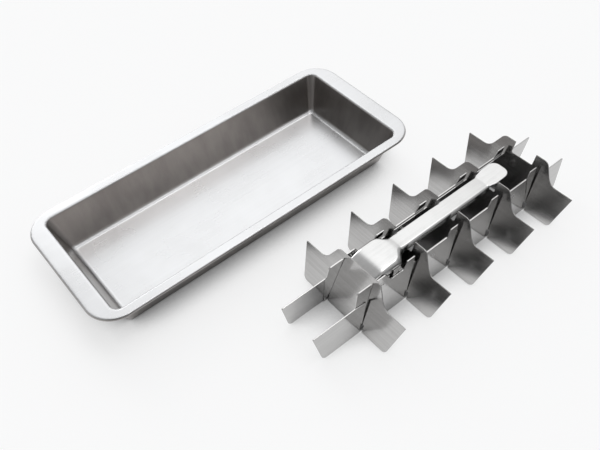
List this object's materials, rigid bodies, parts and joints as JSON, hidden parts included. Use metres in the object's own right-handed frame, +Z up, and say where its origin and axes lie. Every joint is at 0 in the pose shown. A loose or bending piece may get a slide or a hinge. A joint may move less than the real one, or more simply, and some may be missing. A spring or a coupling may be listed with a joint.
{
  "type": "lever ice cube tray",
  "caption": "Pressed steel ice tray with a lift-out divider grid beside it; a lever cams sliding plates that rock the slanted dividers to free the cubes.",
  "frame": {"origin": "middle of the pan's underside, where the pan rests on the table", "axes": "+X along the pan towards the lever's finger tip, +Y across it away from the grid, +Z up"},
  "size_m": [0.3279, 0.2315, 0.0392],
  "materials": {
    "pan_steel": "fine brushed stainless steel, lengthwise on the floor and rim",
    "divider_steel": "fine brushed stainless sheet, brushed across",
    "plate_steel": "smooth satin stainless sheet",
    "lever_steel": "bright satin stainless sheet",
    "pin_steel": "satin stainless pin"
  },
  "bodies": {
    "pan": {"tray_pan": "pan_steel"},
    "grid_frame": {"fixed_plate_left": "plate_steel", "fixed_plate_right": "plate_steel", "pivot_pin": "pin_steel", "guide_rivet_near_left": "pin_steel", "guide_rivet_far_left": "pin_steel", "guide_rivet_near_right": "pin_steel", "guide_rivet_far_right": "pin_steel"},
    "slide": {"slide_plate_left": "plate_steel", "slide_plate_right": "plate_steel", "drive_pin": "pin_steel"},
    "lever": {"lever": "lever_steel"},
    "divider_1": {"divider_1": "divider_steel"},
    "divider_2": {"divider_2": "divider_steel"},
    "divider_3": {"divider_3": "divider_steel"},
    "divider_4": {"divider_4": "divider_steel"},
    "divider_5": {"divider_5": "divider_steel"}
  },
  "joints": [
    {"name": "grid_lift", "type": "slide", "parent": "pan", "child": "grid_frame", "axis": [0, 0, 1], "range_m": [0, 0.06]},
    {"name": "lever_lift", "type": "hinge", "parent": "grid_frame", "child": "lever", "pos_m": [0.0173, -0.1281, 0.0305], "axis": [0, -1, 0], "range_deg": [0, 60]},
    {"name": "slide_shift", "type": "slide", "parent": "grid_frame", "child": "slide", "axis": [-1, 0, 0], "range_m": [0, 0.00225]},
    {"name": "divider_1_rock", "type": "hinge", "parent": "grid_frame", "child": "divider_1", "pos_m": [-0.00062, -0.1281, 0.00559], "axis": [0, -1, 0], "range_deg": [0, 5.2]},
    {"name": "divider_2_rock", "type": "hinge", "parent": "grid_frame", "child": "divider_2", "pos_m": [0.03858, -0.1281, 0.00559], "axis": [0, -1, 0], "range_deg": [0, 5.2]},
    {"name": "divider_3_rock", "type": "hinge", "parent": "grid_frame", "child": "divider_3", "pos_m": [0.07778, -0.1281, 0.00559], "axis": [0, -1, 0], "range_deg": [0, 5.2]},
    {"name": "divider_4_rock", "type": "hinge", "parent": "grid_frame", "child": "divider_4", "pos_m": [0.11698, -0.1281, 0.00559], "axis": [0, -1, 0], "range_deg": [0, 5.2]},
    {"name": "divider_5_rock", "type": "hinge", "parent": "grid_frame", "child": "divider_5", "pos_m": [0.15618, -0.1281, 0.00559], "axis": [0, -1, 0], "range_deg": [0, 5.2]}
  ],
  "couplings": [
    {"joint": "slide_shift", "follows": "lever_lift", "m_per_rad": 0.0021425},
    {"joint": "divider_1_rock", "follows": "lever_lift", "ratio": 0.086667},
    {"joint": "divider_2_rock", "follows": "lever_lift", "ratio": 0.086667},
    {"joint": "divider_3_rock", "follows": "lever_lift", "ratio": 0.086667},
    {"joint": "divider_4_rock", "follows": "lever_lift", "ratio": 0.086667},
    {"joint": "divider_5_rock", "follows": "lever_lift", "ratio": 0.086667}
  ]
}
